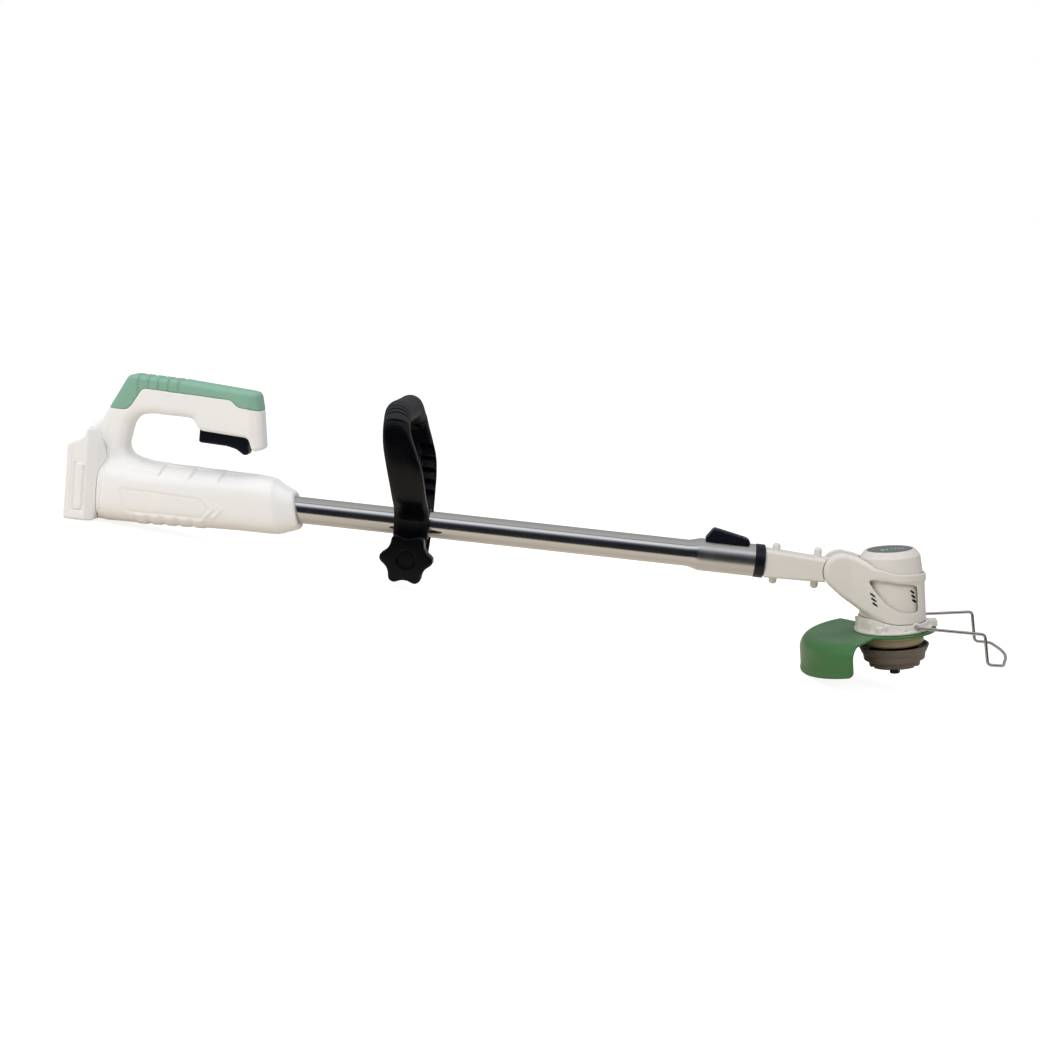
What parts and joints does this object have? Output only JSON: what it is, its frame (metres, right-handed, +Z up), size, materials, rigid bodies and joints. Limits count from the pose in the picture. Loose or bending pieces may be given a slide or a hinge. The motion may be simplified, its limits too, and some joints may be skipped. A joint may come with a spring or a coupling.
{
  "type": "cordless string trimmer",
  "caption": "Battery string trimmer without its battery: body with trigger grip, telescopic steel tube, clamp-on loop handle, tilting motor head with guard and wire guide.",
  "frame": {"origin": "centre of the bounding box on the floor that the tool stands on, with its dock heel and the rear edge of its guard", "axes": "+X from the battery dock towards the cutting head, level with the floor; +Z up; -Y is the side with the clamp knob"},
  "size_m": [0.9104, 0.151, 0.1763],
  "materials": {
    "white_shell": "satin moulded",
    "off_white": "moulded",
    "grip_green": "soft overmould",
    "guard_green": "moulded",
    "black_plastic": "moulded",
    "black_rubber": "ribbed",
    "polished_steel": "polished",
    "plain_steel": "plain",
    "brass": "bright",
    "beige": "moulded",
    "taupe": "moulded",
    "board": "laminate",
    "display": "smoked window"
  },
  "bodies": {
    "tool": {"body_shell_right": "white_shell", "body_shell_left": "white_shell", "grip_cover": "grip_green", "battery_dock": "white_shell", "terminal_block": "black_plastic", "terminal_blade_1": "brass", "terminal_blade_2": "brass", "control_board": "board", "switch_module": "black_plastic", "trigger_pin": "plain_steel", "trigger_spring": "plain_steel", "case_screw_1": "plain_steel", "case_screw_2": "plain_steel", "case_screw_3": "plain_steel", "case_screw_4": "plain_steel", "case_screw_5": "plain_steel", "case_screw_6": "plain_steel", "main_tube": "polished_steel", "lock_liner": "black_plastic", "curly_lead": "black_rubber"},
    "trigger": {"trigger": "black_plastic"},
    "lock_button": {"lock_button": "black_plastic", "lock_pin": "plain_steel"},
    "extension": {"inner_tube": "plain_steel", "rear_bush": "black_plastic", "neck": "off_white"},
    "head": {"head_yoke_right": "off_white", "head_yoke_left": "off_white", "motor_housing": "off_white", "top_cap": "off_white", "display_disc": "display", "base_collar": "off_white", "motor": "plain_steel", "motor_mount": "black_plastic", "upper_bearing": "plain_steel", "lower_bearing": "plain_steel", "spindle_drum": "beige", "guard": "guard_green", "guard_screw_1": "plain_steel", "guard_screw_2": "plain_steel", "guard_screw_3": "plain_steel", "pivot_bolt": "plain_steel"},
    "spool": {"motor_shaft": "plain_steel", "cutter_hub": "taupe", "hub_bolt": "black_plastic"},
    "guide": {"wire_guide": "polished_steel"},
    "clamp_slide": {"clamp_liner": "black_plastic"},
    "loop": {"loop_handle": "black_plastic", "loop_grip": "black_rubber", "clamp_bolt": "plain_steel"},
    "knob": {"clamp_knob": "black_plastic"}
  },
  "joints": [
    {"name": "trigger_pull", "type": "hinge", "parent": "tool", "child": "trigger", "pos_m": [-0.33912, 0, 0.10942], "axis": [0, -1, 0], "range_deg": [0, 7], "stiffness_Nm_per_rad": 0.4, "springref_deg": -8.59, "deforming": ["trigger_spring"]},
    {"name": "button_slide", "type": "slide", "parent": "tool", "child": "lock_button", "axis": [0.9945, 0, 0.1049], "range_m": [0, 0.005], "stiffness_N_per_m": 400, "springref_m": -0.005},
    {"name": "tube_extension", "type": "slide", "parent": "tool", "child": "extension", "axis": [0.9945, 0, 0.1049], "range_m": [0, 0.2]},
    {"name": "head_tilt", "type": "hinge", "parent": "extension", "child": "head", "pos_m": [0.28089, 0, 0.10381], "axis": [0, -1, 0], "range_deg": [-10, 60]},
    {"name": "spindle_spin", "type": "hinge", "parent": "head", "child": "spool", "pos_m": [0.32655, 0, 0.11692], "axis": [-0.276, 0, 0.9612], "continuous": true},
    {"name": "guide_flip", "type": "hinge", "parent": "head", "child": "guide", "pos_m": [0.35889, 0, 0.0695], "axis": [0, -1, 0], "range_deg": [0, 90]},
    {"name": "loop_slide", "type": "slide", "parent": "tool", "child": "clamp_slide", "axis": [0.9945, 0, 0.1049], "range_m": [-0.075, 0.235]},
    {"name": "loop_turn", "type": "hinge", "parent": "clamp_slide", "child": "loop", "pos_m": [-0.12814, 0, 0.06068], "axis": [0.9945, 0, 0.1049], "range_deg": [-90, 90]},
    {"name": "knob_turn", "type": "hinge", "parent": "loop", "child": "knob", "pos_m": [-0.12494, 0, 0.03035], "axis": [0, -1, 0], "continuous": true}
  ]
}
